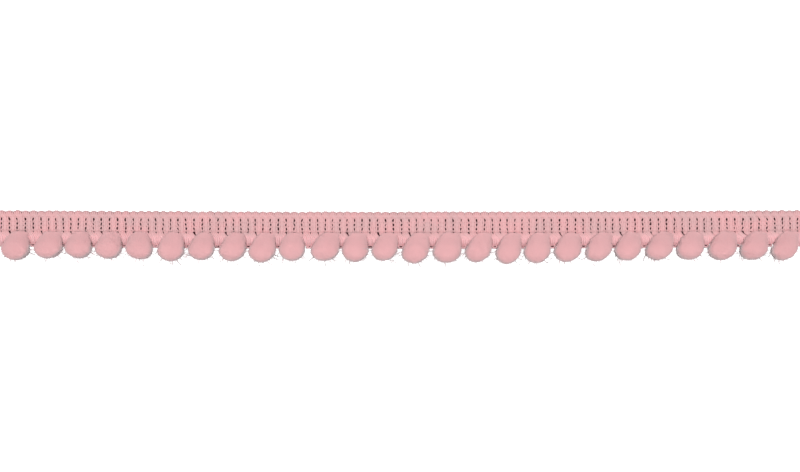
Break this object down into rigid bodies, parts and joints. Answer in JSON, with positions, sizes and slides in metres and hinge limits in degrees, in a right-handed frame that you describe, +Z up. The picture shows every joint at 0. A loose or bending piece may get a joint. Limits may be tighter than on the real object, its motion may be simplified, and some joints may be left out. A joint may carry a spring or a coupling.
{
  "type": "pompom fringe trim",
  "caption": "Straight cut length of narrow ribbed crochet-knit trim with a scalloped top edge and a row of small velvety pompoms along its lower edge.",
  "frame": {"origin": "middle of the flat back of the heading, on the surface that the trim lies on", "axes": "+X along the trim, +Y across it towards the scalloped top edge, +Z up off the surface, out of the face of the trim"},
  "size_m": [0.1622, 0.0106, 0.0041],
  "materials": {
    "heading_yarn": "soft cotton crochet-knit, pale dusty pink",
    "pompom_pile": "dense velvety cut pile, pale dusty pink"
  },
  "bodies": {
    "root": {"heading": "heading_yarn", "pompom_01": "pompom_pile", "pompom_02": "pompom_pile", "pompom_03": "pompom_pile", "pompom_04": "pompom_pile", "pompom_05": "pompom_pile", "pompom_06": "pompom_pile", "pompom_07": "pompom_pile", "pompom_08": "pompom_pile", "pompom_09": "pompom_pile", "pompom_10": "pompom_pile", "pompom_11": "pompom_pile", "pompom_12": "pompom_pile", "pompom_13": "pompom_pile", "pompom_14": "pompom_pile", "pompom_15": "pompom_pile", "pompom_16": "pompom_pile", "pompom_17": "pompom_pile", "pompom_18": "pompom_pile", "pompom_19": "pompom_pile", "pompom_20": "pompom_pile", "pompom_21": "pompom_pile", "pompom_22": "pompom_pile", "pompom_23": "pompom_pile", "pompom_24": "pompom_pile", "pompom_25": "pompom_pile", "pompom_26": "pompom_pile"}
  },
  "joints": []
}
